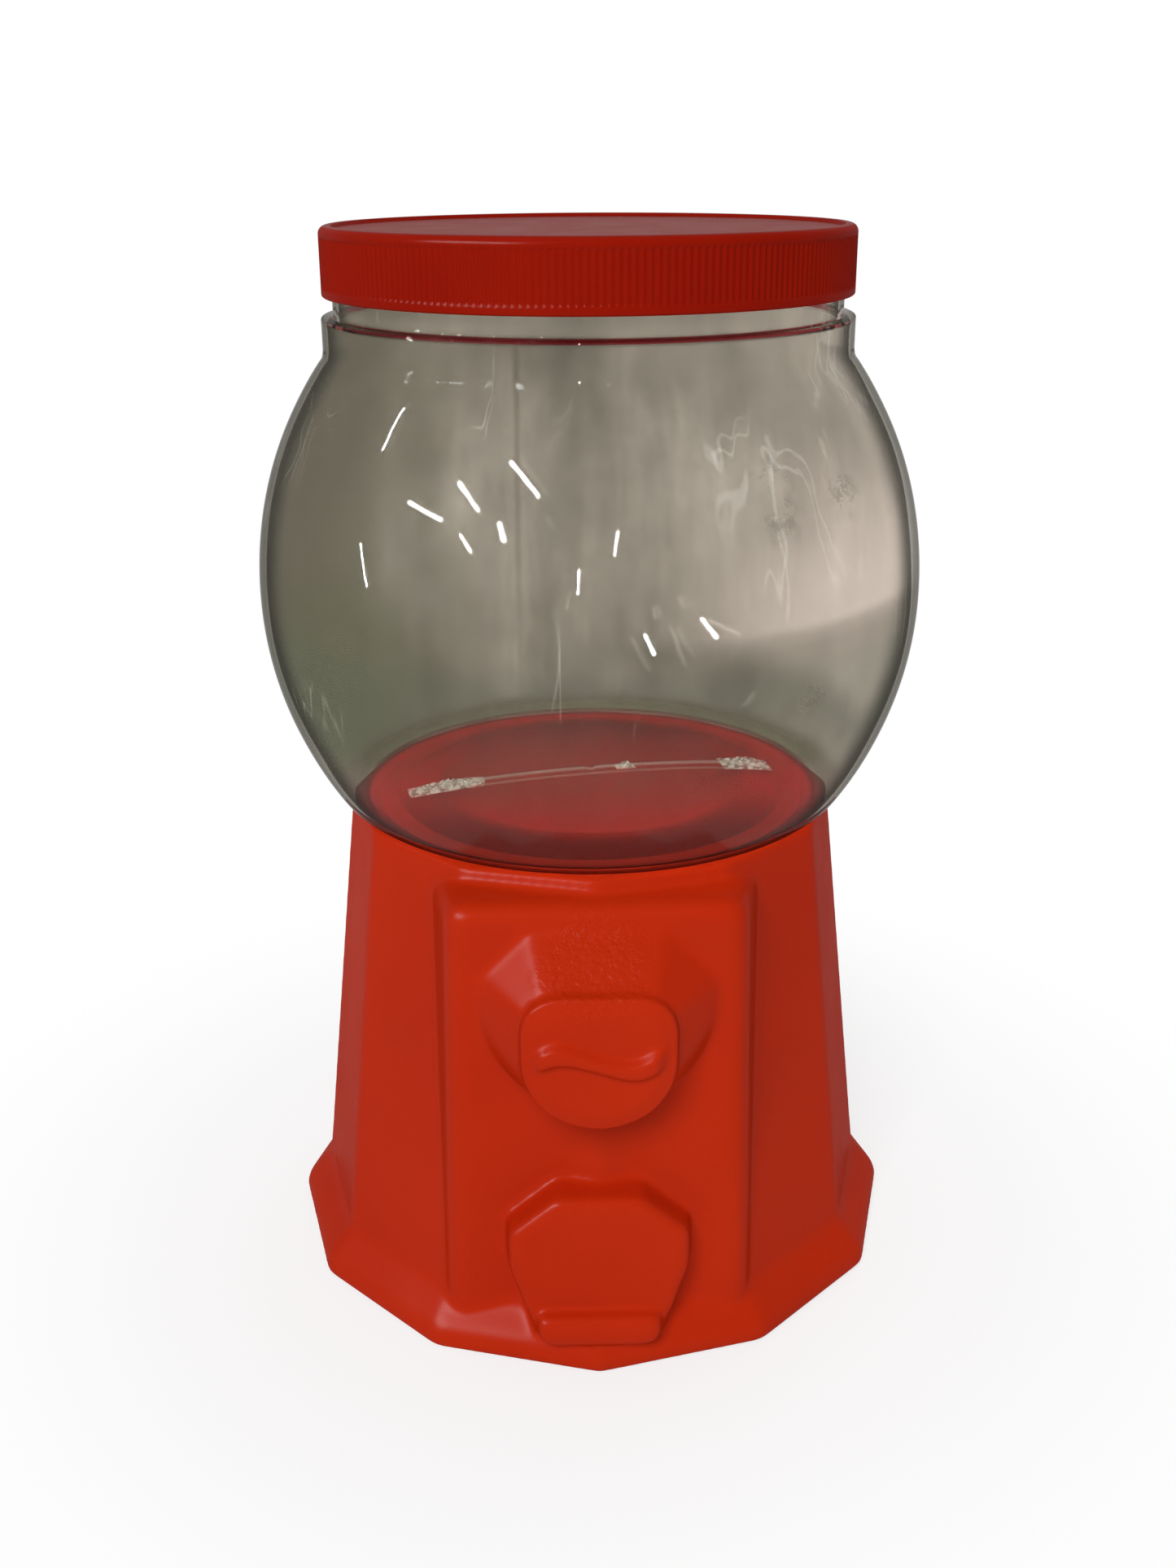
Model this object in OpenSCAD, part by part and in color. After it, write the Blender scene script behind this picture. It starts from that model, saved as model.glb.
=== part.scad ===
// Sweet jar in the shape of a gumball machine.
// A clear blow-moulded globe jar with a ribbed screw lid stands on a hollow, twelve-sided, blow-moulded base.
// The coin plate, the knob and the chute door are raised forms of the base's own wall, and don't move.
// Frame: +Z up, the front panel faces -Y, and the origin is on the floor at the base's centre.

/* [Base body] */
// Height of the base, from the floor to the rim under the jar
base_h = 118.5; // [100:0.5:140]
// Centre to corner of the rim
rim_r = 59.9; // [50:0.1:75]
// How much wider the body is at its foot than at its rim, centre to corner
body_flare = 11.9; // [6:0.1:16]
// Wall of the blow moulding
base_wall = 2; // [1.2:0.1:2.6]
// Rounding of the body's upright corners
corner_r = 5; // [2:0.5:10]
// Rounding of the rim's outer edge
rim_edge_r = 0.6; // [0.3:0.1:0.7]

/* [Foot flange] */
// Height of the foot flange, from the floor to where it meets the body
foot_h = 12; // [9:0.5:18]
// How far the foot flange stands out from the body, centre to corner
foot_ledge = 7.1; // [4:0.1:10]
// Rounding of the flange's lower edge
foot_sole_r = 1; // [0.5:0.1:1.2]
// Height of the flange's upright edge
foot_edge_h = 4.2; // [3.4:0.1:6]
// Reach of the rounding between the flange's upright edge and its slope
foot_edge_r = 3; // [1:0.5:3]
// Reach of the rounding between the flange's slope and the body
foot_hollow_r = 2; // [1:0.5:6]

/* [Front panel] */
// Width of the panel's face, at half of its height
panel_w = 68.6; // [60:0.2:76]
// How far the panel's face stands in front of the rim's front corner
panel_proud = 6.1; // [4:0.1:9]
// Height of the lip that is left between the panel's ledge and the rim
lip_h = 3.7; // [2.5:0.1:6]
// How much narrower each side of the panel gets for each millimetre of height
panel_taper = 0.025; // [0:0.005:0.05]
// Lean of the panel's side walls, in degrees
panel_draft = 12; // [4:1:18]
// Rounding of the panel's front edges
panel_edge_r = 4; // [1:0.5:5]
// Rounding of the panel's corners, seen from the front
panel_corner_r = 5; // [2:0.5:9]

/* [Coin plate and knob] */
// From the panel's ledge down to the knob's centre
knob_drop = 31.3; // [26:0.1:36]
// Width of the knob's face
knob_w = 34.4; // [26:0.2:42]
// From the knob's centre up to its flat top
knob_top = 15.6; // [10:0.2:18]
// Rounding of the knob's two upper corners
knob_corner_r = 8.5; // [3:0.5:10]
// How far the knob stands out of the coin plate
knob_rise = 4.2; // [2.6:0.1:10]
// Rounding of the knob's front edge
knob_edge_r = 2; // [1:0.2:3]
// How far the coin plate spreads beyond the knob's sides and top, at the panel
plate_spread = 10.2; // [6:0.2:12]
// Height of the middle of the coin plate's round side above the knob's centre
plate_up = 9; // [0:0.2:9]
// How far each of the coin plate's two upper corners is cut off, along both sides
plate_cut = 12.4; // [8:0.2:14]
// Rounding where a cut meets the coin plate's level top
plate_corner_r = 3; // [1:0.5:4]
// Rounding where a cut meets the coin plate's side
plate_side_r = 9; // [1:0.5:10]
// How far the coin plate stands out of the panel
plate_rise = 9.6; // [5:0.1:11]
// Width of the grip, the waved ridge on the knob
grip_w = 5.6; // [3:0.2:8]
// How far the grip stands out of the knob
grip_rise = 2.1; // [1.5:0.1:5]
// How far the grip waves up and down
grip_wave = 2.1; // [1:0.1:4]
// Gap from the grip's ends to the knob's sides
grip_gap = 2.2; // [2:0.2:5]
// Height of the grip's middle above the knob's centre
grip_up = 0.7; // [0:0.1:2]

/* [Chute door] */
// Height of the door's top above the floor
door_top = 45.2; // [40:0.2:54]
// Width of the door's face
door_w = 41.6; // [34:0.2:50]
// Length of the door's level top edge
door_top_w = 19.4; // [14:0.5:28]
// Height of the door's widest stretch, lower end
door_low = 26.4; // [22:0.2:30]
// Height of the door's widest stretch, upper end
door_high = 36; // [31:0.2:38]
// How far the door stands out of the panel
door_rise = 8.8; // [6:0.1:14]
// Lean of the door's walls, in degrees
door_draft = 8; // [2:1:14]
// Rounding of the door's corners, seen from the front
door_corner_r = 2.6; // [0.5:0.1:4]
// Rounding of the door's front edge
door_edge_r = 1.8; // [0.8:0.2:3]
// Width of the pull lip at the door's foot
pull_w = 29.2; // [20:0.1:34]
// Height of the pull lip's underside above the floor
pull_low = 7.4; // [6:0.2:10]
// Height of the pull lip's upper edge above the floor
pull_high = 15.6; // [13:0.2:20]
// How far the pull lip stands out of the door
pull_rise = 4; // [2:0.2:6]
// Rounding of the pull lip's front edge
pull_edge_r = 2.2; // [1:0.2:3]
// Rounding of the pull lip's two lower corners, seen from the front
pull_corner_r = 4; // [2:0.5:5]

/* [Jar] */
// Radius of the globe at its widest
globe_r = 78.4; // [68:0.1:92]
// Half of the height that the globe's oval would have
globe_half_h = 82.9; // [76:0.1:92]
// Height of the globe's widest ring above the jar's underside
globe_mid = 54.2; // [50:0.1:62]
// Height above the jar's underside at which the globe starts to turn in to its foot
heel_h = 5.6; // [4:0.1:9]
// Height of the shoulder ledge above the jar's underside
shoulder_h = 115.5; // [108:0.1:122]
// Height of the upright band under the shoulder ledge
shoulder_band = 8.5; // [5:0.1:9]
// How far the shoulder ledge stands out from the neck
shoulder_ledge = 2.7; // [1:0.1:3]
// Outside radius of the neck, at the root of its thread
neck_r = 57.8; // [48:0.1:66]
// Height of the neck above the shoulder ledge
neck_h = 16; // [13:0.1:22]
// Wall of the jar
jar_wall = 1.3; // [0.8:0.1:2]
// How far the middle of the jar's underside is pushed up
push_up = 3; // [1:0.5:5]
// Width of the ring that the jar stands on
stand_w = 5; // [2:0.5:8]
// Depth of the seat that the jar's foot stands in
seat_depth = 0.5; // [0.3:0.1:0.8]
// Lip of the base that is left outside the seat, at the middle of a side
seat_lip = 0.8; // [0.6:0.1:2]
// Gap between the seat's edge and the ring that the jar stands on
heel_gap = 4.2; // [2:0.1:5]
// Height of the pinch-off weld above the jar's floor
weld_rise = 0.8; // [0.4:0.1:1.6]
// Half of the weld's length
weld_half = 44; // [30:1:46]
// Width of the weld
weld_w = 2.2; // [1:0.1:4]
// Direction of the weld, in degrees from +X
weld_turn = 11; // [0:1:180]

/* [Lid] */
// Height of the lid
lid_h = 15; // [13:0.1:20]
// Depth of the thread on the neck
thread_depth = 0.7; // [0.5:0.1:0.8]
// Gap between the neck's thread and the lid's bore
thread_gap = 0.3; // [0.2:0.05:0.5]
// Wall of the lid's skirt, at the root of its ribs
skirt_wall = 0.95; // [0.8:0.05:1.6]
// How far the ribs stand out of the skirt
rib_depth = 0.35; // [0.2:0.05:0.6]
// Number of ribs round the lid
rib_count = 240; // [60:4:280]
// Height of the plain band under the ribs
rib_low = 1.8; // [1.2:0.1:4]
// Height of the plain band over the ribs
rib_high = 2.2; // [2.2:0.1:5]
// Thickness of the lid's top
lid_top_t = 1.5; // [1:0.1:2.5]
// Depth of the panel that is sunk into the lid's top
lid_sink = 0.8; // [0.4:0.1:1.5]
// Width of the raised border round the sunk panel
lid_border = 3; // [2:0.5:8]
// Rounding of the lid's top edge
lid_edge_r = 1.8; // [1:0.1:1.9]
// Thickness of the foam liner inside the lid
liner_t = 1; // [0.6:0.1:1.6]
// Gap between the liner and the lid's skirt
liner_gap = 0.3; // [0.2:0.1:0.6]
// Play that the loose liner has under the lid's top, and again over the jar's mouth
liner_play = 0.1; // [0.05:0.05:0.3]

/* [Hidden] */
$fn = 96;
over = 1;                // how far a cutting solid runs past what it cuts
panel_root_h = 20;       // how deep the panel's solid reaches into the body
boss_root_h = 8;         // how deep the plate, the knob and the door reach behind the panel's face
hollow_drop = 0.4;       // share of the wall by which the hollow is lowered under the flange's slope
least_r = 0.2;           // rounding that is left where a form is moved in by more than its rounding
plate_ledge = 0.4;       // width of the coin plate's face that shows round the knob
grip_bend = 165;         // degrees of a sine wave from the grip's middle to either end
grip_blunt = 0.4;        // how bluntly the grip's ends close, where 1 is a plain half wave
grip_tip = 0.2;          // size of the grip's tips as a share of its full section
shoulder_turn = 1.2;     // height in which the globe turns into the upright band
ledge_edge = 0.4;        // bevel of the shoulder ledge
ledge_fall = 0.3;        // rise of the shoulder ledge towards the neck
lid_foot_r = 0.5;        // rounding of the lid's lower edge
rib_end = 0.3;           // height of the slope at either end of the ribs
rib_sink = 0.08;         // how far the ribs' valleys are sunk in the lid's skirt
border_lean = 0.6;       // lean of the border's inner wall
border_fall = 0.15;      // fall of the border towards that wall

base_sides = 12;         // a side count that is a multiple of 4 puts a corner at the front
side_cos = cos(180 / base_sides);
corner_steps = 4;        // facets round each corner
sole_steps = 2;          // facets round the edges of the foot and of the rim
arc_steps = 4;           // facets round each moulded edge
globe_steps = 30;        // rings of the jar's globe
round_steps = 24;        // facets round the lower half of the knob and of the coin plate

body_foot_r = rim_r + body_flare;
foot_r = body_foot_r + foot_ledge;
body_slope = body_flare / (base_h - foot_h);

panel_y = rim_r + panel_proud;                 // distance from the axis to the panel's face
panel_top = base_h - lip_h;
panel_root = panel_y - panel_root_h;           // where the panel's solid ends, inside the body
knob_z = panel_top - knob_drop;
plate_y = panel_y + plate_rise;
knob_y = plate_y + knob_rise;
door_y = panel_y + door_rise;
pull_y = door_y + pull_rise;

jar_z = base_h - seat_depth;                   // the jar's underside
seat_r = rim_r * side_cos - seat_lip;
stand_r = seat_r - heel_gap;
mid_z = jar_z + globe_mid;
shoulder_z = jar_z + shoulder_h;
mouth_z = shoulder_z + neck_h;
shoulder_r = neck_r + shoulder_ledge;

lid_bore_r = neck_r + thread_depth + thread_gap;
lid_root_r = lid_bore_r + skirt_wall;
lid_r = lid_root_r + rib_depth;
lid_top_z = mouth_z + 2 * liner_play + liner_t + lid_top_t + lid_sink;
lid_z = lid_top_z - lid_h;

// ---- Outlines and profiles ----

// Points of an arc about centre c, from angle a0 to a1
function arc(c, r, a0, a1, steps = arc_steps) =
    [for (i = [0:steps]) let (a = a0 + (a1 - a0) * i / steps) c + r * [cos(a), sin(a)]];

// Points of a curve from p0 to p2 that leaves and arrives along the lines to p1
function bend(p0, p1, p2, steps) =
    [for (i = [0:steps]) let (t = i / steps) (1 - t) * (1 - t) * p0 + 2 * t * (1 - t) * p1 + t * t * p2];

// Points of a rounded corner at b, from the line to a over to the line to c
function round_corner(a, b, c, reach) =
    bend(b + reach * (a - b) / norm(a - b), b, b + reach * (c - b) / norm(c - b), arc_steps);

// One level ring of the many-sided body: centre to corner r, corners rounded to cr
function side_ring(r, cr, z) =
    [for (i = [0:base_sides - 1], j = [0:corner_steps])
        let (a = i * 360 / base_sides - 90,
             b = a + (j / corner_steps - 0.5) * 360 / base_sides,
             c = r - cr / side_cos)
        [c * cos(a) + cr * cos(b), c * sin(a) + cr * sin(b), z]];

// ---- Base ----

// Radius of the body's corners at a height
function body_r(z) = rim_r + body_slope * (base_h - z);

// Outer side of the foot flange, from over its lower edge up to the body
function flange_side() =
    let (edge = [foot_r, foot_edge_h], heel = [body_r(foot_h), foot_h])
    concat(round_corner([foot_r, 0], edge, heel, foot_edge_r),
           round_corner(edge, heel, [rim_r, base_h], foot_hollow_r));

// Outer profile of the base, from the floor up to the rim
function base_profile() =
    let (rim_z = base_h - rim_edge_r)
    concat(arc([foot_r - foot_sole_r, foot_sole_r], foot_sole_r, -90, 0, sole_steps),
           flange_side(),
           arc([body_r(rim_z) - rim_edge_r, rim_z], rim_edge_r, 0, 90, sole_steps));

// Profile of the hollow inside the base: the outer profile moved in by the wall, open at the floor
function hollow_profile() =
    let (inset = base_wall / side_cos, top = base_h - seat_depth - base_wall)
    concat([[foot_r - inset, -over]],
           [for (p = flange_side()) p - [inset, base_wall * hollow_drop]],
           [[body_r(top) - inset, top]]);

// ---- Raised forms of the front ----
// An outline is a convex list of [x, z, corner radius], counter-clockwise as seen from the front.

// Outward direction of the edge from corner i to the next one
function edge_out(outline, i) =
    let (n = len(outline), p = outline[i % n], q = outline[(i + 1) % n], d = [q[0] - p[0], q[1] - p[1]])
    [d[1], -d[0]] / norm(d);

// Corner i with both of its edges moved out by a distance
function corner_at(outline, i, out) =
    let (n = len(outline), e = edge_out(outline, i + n - 1), f = edge_out(outline, i))
    [outline[i][0], outline[i][1]] + out * (e + f) / (1 + e * f);

// The outline moved out by a distance and set upright at a distance in front of the axis
function upright(outline, out, y) =
    [for (i = [0:len(outline) - 1])
        let (full_r = outline[i][2], r = max(least_r, full_r + min(out, 0)))
        each (full_r == 0 ? [let (p = corner_at(outline, i, out)) [p[0], -y, p[1]]] :
            let (n = len(outline), c = corner_at(outline, i, out - r),
                 e = edge_out(outline, i + n - 1), f = edge_out(outline, i),
                 a0 = atan2(e[1], e[0]), turn = acos(e * f))
            [for (j = [0:corner_steps]) let (a = a0 + turn * j / corner_steps)
                [c[0] + r * cos(a), -y, c[1] + r * sin(a)]])];

// Closed solid through a list of rings with equal point counts, the first ring at the back
module rings_solid(rings) {
    count = len(rings[0]);
    last = len(rings) - 1;
    polyhedron(
        points = [for (r = rings) each r],
        faces = concat(
            [[for (i = [0:count - 1]) i]],
            [for (k = [0:last - 1], i = [0:count - 1])
                let (a = k * count, n = (i + 1) % count) [a + i, a + count + i, a + count + n, a + n]],
            [[for (i = [count - 1:-1:0]) last * count + i]]));
}

// The outline with its corners moved out
function grown(outline, out) =
    [for (i = [0:len(outline) - 1]) let (p = corner_at(outline, i, out)) [p[0], p[1], outline[i][2]]];

// A raised form with leaning walls and a rounded front edge, between an outline of its face and one of its root
module boss(face, root, face_y, root_y, edge_r, inset = 0) {
    r = max(least_r, edge_r - inset);
    hull() rings_solid(concat(
        [upright(root, -inset, root_y)],
        [for (i = [0:arc_steps])
            let (a = 90 * i / arc_steps, back = r * (1 - sin(a)), t = back / (face_y - root_y))
            upright((1 - t) * face + t * root, -r * (1 - cos(a)) - inset, face_y - inset - back)]));
}

// The panel's face, or its root with the side walls moved out
function panel_outline(wider = 0) =
    let (half = panel_w / 2 + wider, mid = panel_top / 2, low = foot_edge_h / 2,
         top_w = half - panel_taper * (panel_top - mid),
         low_w = half + panel_taper * (mid - low))
    [[low_w, low, 1], [top_w, panel_top, panel_corner_r], [-top_w, panel_top, panel_corner_r], [-low_w, low, 1]];

// Round below, with a level top between two rounded corners
function knob_outline() =
    let (r = knob_w / 2, low = round_steps)
    concat(
        [for (i = [0:low]) let (a = 180 + 180 * i / low) [r * cos(a), knob_z + r * sin(a), 0]],
        [[r, knob_z + knob_top, knob_corner_r], [-r, knob_z + knob_top, knob_corner_r]]);

// The coin plate on the panel: round below, with a level top and two cut corners above
function plate_outline() =
    let (r = knob_w / 2 + plate_spread, low = round_steps, mid = knob_z + plate_up,
         top = knob_z + knob_top + plate_spread, cut = plate_cut)
    concat(
        [for (i = [0:low]) let (a = 180 + 180 * i / low) [r * cos(a), mid + r * sin(a), 0]],
        [[r, top - cut, plate_side_r], [r - cut, top, plate_corner_r],
         [cut - r, top, plate_corner_r], [-r, top - cut, plate_side_r]]);

// The coin plate's face, under the knob, with the same count of corners
function plate_face() =
    let (r = knob_w / 2 + plate_ledge, low = round_steps, top = knob_z + knob_top + plate_ledge,
         cut = knob_corner_r * (2 - sqrt(2)))
    concat(
        [for (i = [0:low]) let (a = 180 + 180 * i / low) [r * cos(a), knob_z + r * sin(a), 0]],
        [[r, top - cut, 1], [r - cut, top, 1], [cut - r, top, 1], [-r, top - cut, 1]]);

function door_outline() =
    let (half = door_w / 2, r = door_corner_r)
    [[half, door_low, r], [half, door_high, r], [door_top_w / 2, door_top, r],
     [-door_top_w / 2, door_top, r], [-half, door_high, r], [-half, door_low, r],
     [-pull_w / 2, pull_low, r], [pull_w / 2, pull_low, r]];

function pull_outline() =
    let (half = pull_w / 2, low_r = pull_corner_r, high_r = pull_edge_r)
    [[half, pull_low, low_r], [half, pull_high, high_r], [-half, pull_high, high_r], [-half, pull_low, low_r]];

// The panel with the coin plate, the knob and the door on it; inset moves every face in by the wall
module front_forms(inset) {
    root_y = panel_y - inset - boss_root_h;
    boss(panel_outline(), panel_outline(panel_root_h * tan(panel_draft)),
         panel_y, panel_root, panel_edge_r, inset);
    hull() rings_solid([upright(plate_outline(), -inset, root_y),
                 upright(plate_outline(), -inset, panel_y - inset),
                 upright(plate_face(), -inset, plate_y - inset)]);
    boss(knob_outline(), knob_outline(), knob_y, root_y, knob_edge_r, inset);
    boss(door_outline(), grown(door_outline(), door_rise * tan(door_draft)), door_y, root_y, door_edge_r, inset);
    boss(pull_outline(), pull_outline(), pull_y, root_y, pull_edge_r, inset);
}

// The waved ridge that fingers would hold: half-round sections swept across the knob's face
module grip() {
    half = knob_w / 2 - grip_gap;
    stations = 20;
    around = 8;
    rings_solid([for (i = [0:stations])
        let (x = half * cos(180 - 180 * i / stations),
             size = max(grip_tip, sin(180 * i / stations) ^ grip_blunt),
             z = knob_z + grip_up - grip_wave * sin(x / half * grip_bend))
        concat([for (j = [0:around]) let (a = 180 * j / around)
                   [x, -knob_y - grip_rise * size * sin(a), z + grip_w / 2 * size * cos(a)]],
               [[x, -knob_y + knob_edge_r, z - grip_w / 2 * size],
                [x, -knob_y + knob_edge_r, z + grip_w / 2 * size]])]);
}

module base() {
    color("orangered") difference() {
        union() {
            rings_solid([for (p = base_profile()) side_ring(p[0], corner_r, p[1])]);
            front_forms(0);
            grip();
        }
        rings_solid([for (p = hollow_profile()) side_ring(p[0], corner_r - base_wall / 2, p[1])]);
        front_forms(base_wall);
        translate([0, 0, jar_z]) cylinder(h = seat_depth + over, r = seat_r);
    }
}

// ---- Jar ----

// Radius of the globe's oval at a height, grown by a distance
function globe_at(z, grow = 0) =
    (globe_r + grow) * sqrt(1 - ((z - mid_z) / (globe_half_h + grow)) ^ 2);

// The jar's floor, from its middle out to the ring that it stands on; inset is 0 or the wall
function jar_floor(inset) =
    let (z = jar_z + inset, r = stand_r - stand_w)
    bend([0, z + push_up], [r * 0.6, z + push_up], [r, z], 8);

// Outer or inner side of the jar, from the middle of its floor up to its mouth
function jar_side(inset) =
    let (z0 = jar_z + heel_h,
         z1 = shoulder_z - shoulder_band - shoulder_turn,
         r0 = globe_at(z0, -inset),
         lean = (globe_at(z0 + 0.1, -inset) - r0) / 0.1,
         floor_z = jar_z + inset,
         turn = [r0 - lean * (z0 - floor_z), floor_z])
    concat(
        jar_floor(inset),
        bend([stand_r, floor_z], turn, [r0, z0], 8),
        [for (i = [1:globe_steps]) let (z = z0 + (z1 - z0) * i / globe_steps) [globe_at(z, -inset), z]],
        [[shoulder_r - inset, shoulder_z - shoulder_band],
         [shoulder_r - inset, shoulder_z - ledge_edge - inset],
         [shoulder_r - inset - ledge_edge, shoulder_z - inset],
         [neck_r - inset, shoulder_z - inset + ledge_fall],
         [neck_r - inset, mouth_z]]);

// The jar's wall between its outer and its inner side
module jar_shell() {
    inner = jar_side(jar_wall);
    rotate_extrude() polygon(concat(jar_side(0), [for (i = [len(inner) - 1:-1:0]) inner[i]]));
}

// The ridge that the closed mould left across the jar's floor
module weld() {
    floor_line = jar_floor(jar_wall);
    last = len(floor_line) - 1;
    intersection() {
        rotate_extrude() polygon(concat(
            [for (p = floor_line) p - [0, jar_wall / 2]],
            [for (i = [last:-1:0]) floor_line[i] + [0, weld_rise]]));
        rotate(weld_turn) cube([2 * weld_half, weld_w, 4 * (push_up + jar_z)], center = true);
    }
}

module jar() {
    color("lightgray", 0.4) {
        jar_shell();
        weld();
    }
}

// ---- Lid ----

module lid() {
    inner_top = lid_h - lid_sink - lid_top_t;
    border_r = lid_r - lid_border;
    color("firebrick") translate([0, 0, lid_z]) {
        rotate_extrude() polygon(concat(
            [[lid_bore_r, 0]],
            arc([lid_r - lid_foot_r, lid_foot_r], lid_foot_r, -90, 0, 3),
            [[lid_r, rib_low - rib_end], [lid_root_r, rib_low],
             [lid_root_r, lid_h - rib_high], [lid_r, lid_h - rib_high + rib_end]],
            arc([lid_r - lid_edge_r, lid_h - lid_edge_r], lid_edge_r, 0, 90),
            [[border_r + border_lean, lid_h - border_fall], [border_r, lid_h - lid_sink],
             [0, lid_h - lid_sink], [0, inner_top], [lid_bore_r, inner_top]]));
        translate([0, 0, rib_low - rib_end / 2])
            linear_extrude(lid_h - rib_low - rib_high + rib_end) difference() {
                polygon(rib_points());
                circle(lid_root_r - skirt_wall / 2);
            }
    }
}

// Outline of the ribs, whose valleys are sunk in the skirt
function rib_points() =
    [for (i = [0:rib_count - 1], c = [0, 1])
        let (a = (i + c / 2) * 360 / rib_count, r = lid_root_r - rib_sink + (rib_depth + rib_sink) * c)
        r * [cos(a), sin(a)]];

module lid_liner() {
    color("white") translate([0, 0, mouth_z + liner_play]) cylinder(h = liner_t, r = lid_bore_r - liner_gap);
}

base();
jar();
lid();
lid_liner();
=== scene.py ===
"""Candy jar in the shape of a gumball machine: the visual model round its CAD frame.

Units are metres, +Z is up and the front panel faces -Y. The jar's axis is the Z axis.
"""
import math
from types import SimpleNamespace

import bpy
import numpy as np
from mathutils import Matrix, Vector


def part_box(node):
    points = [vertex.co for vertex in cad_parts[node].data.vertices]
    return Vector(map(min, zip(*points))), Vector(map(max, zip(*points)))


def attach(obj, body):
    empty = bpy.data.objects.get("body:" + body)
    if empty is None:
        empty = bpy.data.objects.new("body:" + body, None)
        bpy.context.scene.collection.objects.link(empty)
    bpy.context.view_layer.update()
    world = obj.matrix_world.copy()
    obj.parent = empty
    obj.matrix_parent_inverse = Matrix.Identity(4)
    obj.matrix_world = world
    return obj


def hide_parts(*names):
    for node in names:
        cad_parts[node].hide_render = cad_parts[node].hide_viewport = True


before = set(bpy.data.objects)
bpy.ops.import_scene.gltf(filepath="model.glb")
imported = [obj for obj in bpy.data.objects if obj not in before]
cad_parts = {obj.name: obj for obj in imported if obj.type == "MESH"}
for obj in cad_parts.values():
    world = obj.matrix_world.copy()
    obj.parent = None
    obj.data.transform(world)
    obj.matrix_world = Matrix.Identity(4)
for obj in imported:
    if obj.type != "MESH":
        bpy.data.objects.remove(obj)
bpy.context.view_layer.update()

MM = 0.001

# ---- Sizes, read from the frame where it has them ----

BASE_LOW, BASE_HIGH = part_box("base")
JAR_LOW, JAR_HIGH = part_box("jar")
LID_LOW, LID_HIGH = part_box("lid")
LINER_LOW, LINER_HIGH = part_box("lid_liner")

FOOT_TOP = 16.2 * MM
STIPPLE_MIDDLE = (0.0, -0.073, 0.1035)
KNOB_Z = BASE_HIGH[2] - 35 * MM
KNOB_W = 34.4 * MM
KNOB_TOP = 15.6 * MM
KNOB_CORNER_R = 8.5 * MM
KNOB_FRONT = BASE_LOW[1] + 2.1 * MM
KNOB_RIM_W = 5.5 * MM
KNOB_RIM_FALL = 1.7 * MM
GRIP_RISE = 2.0 * MM
GRIP_UP = 1.6 * MM
GRIP_END = 3.2 * MM
GRIP_SAMPLES = 200         # points along the grip, and how many of them each one is averaged over
GRIP_BLUR = 31
# where along the knob the grip passes, how high, and how thick it is there, in millimetres
GRIP_STATIONS = ((-15.4, -1.4, 2.1), (-12.5, 0.2, 2.7), (-9.2, 1.4, 2.8), (-5.5, 0.7, 2.3), (0, -1.4, 1.9),
                 (5.5, -2.9, 2.2), (9, -2.7, 2.7), (12.5, -0.9, 3.0), (15.2, 0.9, 2.4))

VOXEL = 0.7 * MM           # grain of the base's mesh, and how often it is smoothed before and after the knob
FIRST_RELAX = 9
LAST_RELAX = 4

GLOBE_R = JAR_HIGH[0]
GLOBE_HALF_H = 82.9 * MM
GLOBE_MID_Z = JAR_LOW[2] + 54.2 * MM
JAR_WALL = 1.3 * MM
HEEL_H = 5.6 * MM
STAND_R = 52.9 * MM
STAND_W = 5 * MM
FLOOR_R = 56.5 * MM
RAISED_R = 38 * MM
PUSH_UP = 3 * MM
SHOULDER_Z = JAR_LOW[2] + 115.5 * MM
SHOULDER_BAND = 8.5 * MM
SHOULDER_R = 60.5 * MM
LEDGE_EDGE_R = 0.5 * MM
NECK_R = 57.8 * MM
MOUTH_Z = JAR_HIGH[2]

JAR_STEPS = 360            # sides of the jar and of the liner where they turn round the axis
LINER_STEPS = 128
# the wall wanders a little where the parison stretched: how far it dips outside and inside, and its waves
# (share of the dip, number round the axis, radians per metre of height, phase)
DIP_OUTSIDE = 0.15 * MM
DIP_INSIDE = 0.55 * MM
WALL_WAVES = ((0.35, 3, 40, 0.7), (0.25, 7, -55, 2.1), (0.15, 13, 90, 0.3), (0.12, 2, 150, 0.0))

WELD_TURN = math.radians(11)
WELD_HALF = 44 * MM
WELD_RISE = 0.8 * MM

LID_R = LID_HIGH[0]
LID_BORE_R = 58.8 * MM
LID_EDGE_R = 1.8 * MM
HEM_R = 0.5 * MM
RIB_END = 0.6 * MM
LID_SINK = 0.8 * MM
LID_TOP_T = 1.5 * MM
LID_BORDER = 3 * MM
RIB_COUNT = 240
RIB_STEPS = 4              # sides of the lid for each rib
RIB_DEPTH = 0.42 * MM
RIB_LOW = LID_LOW[2] + 1.6 * MM
RIB_HIGH = LID_HIGH[2] - 2.0 * MM

THREAD_PITCH = 5.08 * MM
THREAD_DEPTH = 0.7 * MM
THREAD_HALF_W = 1.1 * MM
THREAD_END = 1.2 * MM      # height over which the thread fades out at its ends


# ---- Mesh helpers ----

def in_scene(name, data):
    """A new object with this data, in the scene."""
    obj = bpy.data.objects.new(name, data)
    bpy.context.scene.collection.objects.link(obj)
    return obj


def mesh_object(name, points, faces, material, smooth=True):
    """A mesh object from points and faces, all in the row frame."""
    mesh = bpy.data.meshes.new(name)
    mesh.from_pydata([tuple(p) for p in points], [], faces)
    mesh.validate()
    mesh.polygons.foreach_set("use_smooth", [smooth] * len(mesh.polygons))
    mesh.materials.append(material)
    mesh.update()
    return in_scene(name, mesh)


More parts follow.
